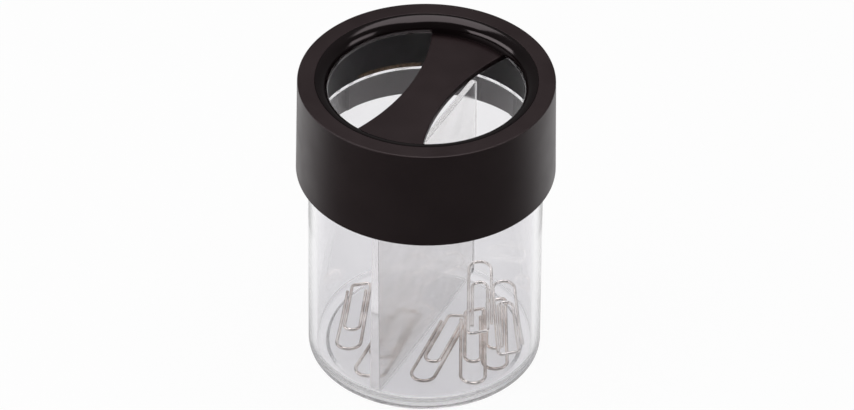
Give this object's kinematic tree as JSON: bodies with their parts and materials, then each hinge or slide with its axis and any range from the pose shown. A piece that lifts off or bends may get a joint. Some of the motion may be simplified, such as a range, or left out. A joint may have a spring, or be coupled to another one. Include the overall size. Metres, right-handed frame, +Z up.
{
  "type": "magnetic paper clip holder",
  "caption": "Round desk holder for paper clips: clear cup with a divider, black push-on lid with a bridged open mouth and a ring magnet that holds clips at the rim.",
  "frame": {"origin": "on the table under the middle of the cup", "axes": "+Z up through the mouth, +X along the divider and the bridge"},
  "size_m": [0.0608, 0.0608, 0.077],
  "materials": {
    "clear_plastic": "clear moulded polystyrene, polished",
    "satin_black": "black moulded plastic, fine satin",
    "gloss_black": "black moulded plastic, polished",
    "magnet": "flexible ferrite magnet with a smooth dark face",
    "clip_wire": "nickel-plated steel wire, bright"
  },
  "bodies": {
    "cup": {"cup": "clear_plastic", "divider": "clear_plastic", "paper_clip_1": "clip_wire", "paper_clip_2": "clip_wire", "paper_clip_3": "clip_wire", "paper_clip_4": "clip_wire", "paper_clip_5": "clip_wire", "paper_clip_6": "clip_wire", "paper_clip_7": "clip_wire"},
    "magnet": {"magnet_ring": "magnet"},
    "lid": {"lid_shell": "satin_black", "throat_ring": "gloss_black", "bridge": "satin_black"}
  },
  "joints": [
    {"name": "lid_lift", "type": "slide", "parent": "cup", "child": "magnet", "axis": [0, 0, 1], "range_m": [0, 0.03]},
    {"name": "lid_turn", "type": "hinge", "parent": "magnet", "child": "lid", "pos_m": [0, 0, 0.077], "axis": [0, 0, 1], "continuous": true}
  ]
}
